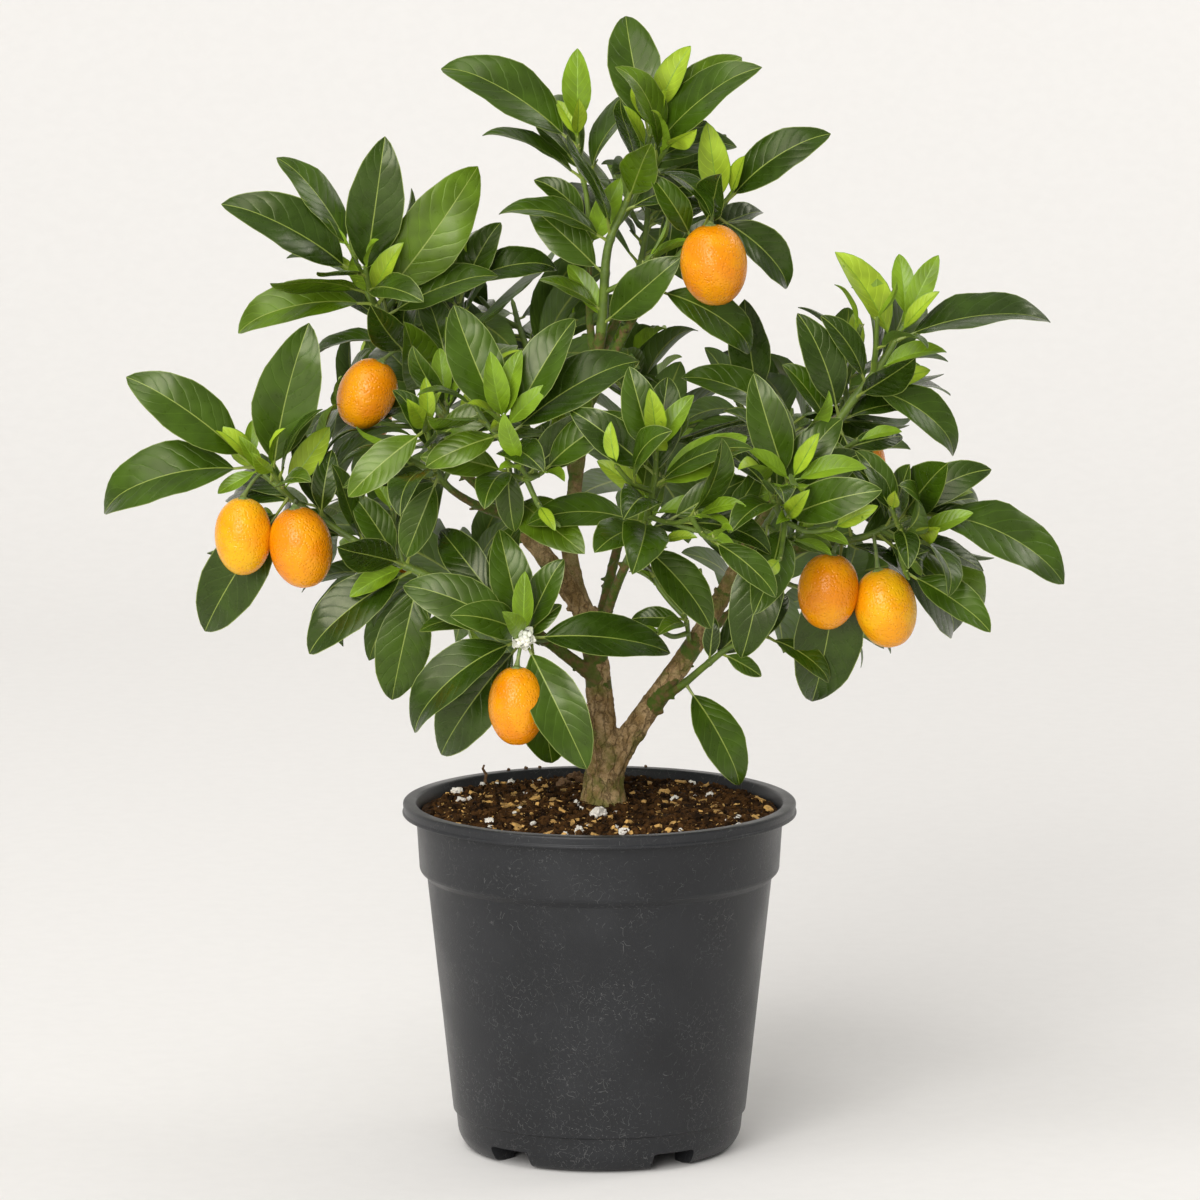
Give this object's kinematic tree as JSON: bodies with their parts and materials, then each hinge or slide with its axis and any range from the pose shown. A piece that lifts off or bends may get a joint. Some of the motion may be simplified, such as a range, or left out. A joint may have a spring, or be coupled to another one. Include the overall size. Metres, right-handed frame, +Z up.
{
  "type": "potted kumquat tree",
  "caption": "Small kumquat tree with a crooked trunk, spreading leafy boughs and ripe oval fruit, in a round plastic nursery pot of compost.",
  "frame": {"origin": "On the floor, under the middle of the box of the whole plant and pot. The pot's axis stands 10.0 mm to +X and 22.4 mm to -Y of it.", "axes": "+Z up, +X to the right and +Y away, as the picture's viewer sees it. The box is longest along Z and shortest along Y."},
  "size_m": [0.484, 0.3296, 0.5746],
  "materials": {
    "pot": "matte dark grey, faintly scuffed",
    "compost": "damp, crumbly",
    "bark": "rough bark",
    "green_wood": "smooth green bark",
    "foliage": "glossy leaf"
  },
  "bodies": {
    "root": {"pot": "pot", "soil": "compost", "trunk": "bark", "left_bough": "bark", "leader": "bark", "leader_side": "green_wood", "upper_right": "bark", "right_bough": "bark", "lower_left": "bark", "front_low": "green_wood", "left_middle": "bark", "front_left": "green_wood", "front_centre": "bark", "right_middle": "green_wood", "lower_right": "bark", "low_side": "green_wood", "small_spur": "green_wood", "left_high": "green_wood", "right_high": "green_wood", "back_top": "bark", "back_high": "green_wood", "back_left": "bark", "back_right": "bark", "back_centre": "bark", "low_back_left": "bark", "low_back_right": "bark", "leaves_left_bough": "foliage", "leaves_leader": "foliage", "leaves_leader_side": "foliage", "leaves_upper_right": "foliage", "leaves_right_bough": "foliage", "leaves_lower_left": "foliage", "leaves_front_low": "foliage", "leaves_left_middle": "foliage", "leaves_front_left": "foliage", "leaves_front_centre": "foliage", "leaves_right_middle": "foliage", "leaves_lower_right": "foliage", "leaves_low_side": "foliage", "leaves_small_spur": "foliage", "leaves_left_high": "foliage", "leaves_right_high": "foliage", "leaves_back_top": "foliage", "leaves_back_high": "foliage", "leaves_back_left": "foliage", "leaves_back_right": "foliage", "leaves_back_centre": "foliage", "leaves_low_back_left": "foliage", "leaves_low_back_right": "foliage"}
  },
  "joints": []
}
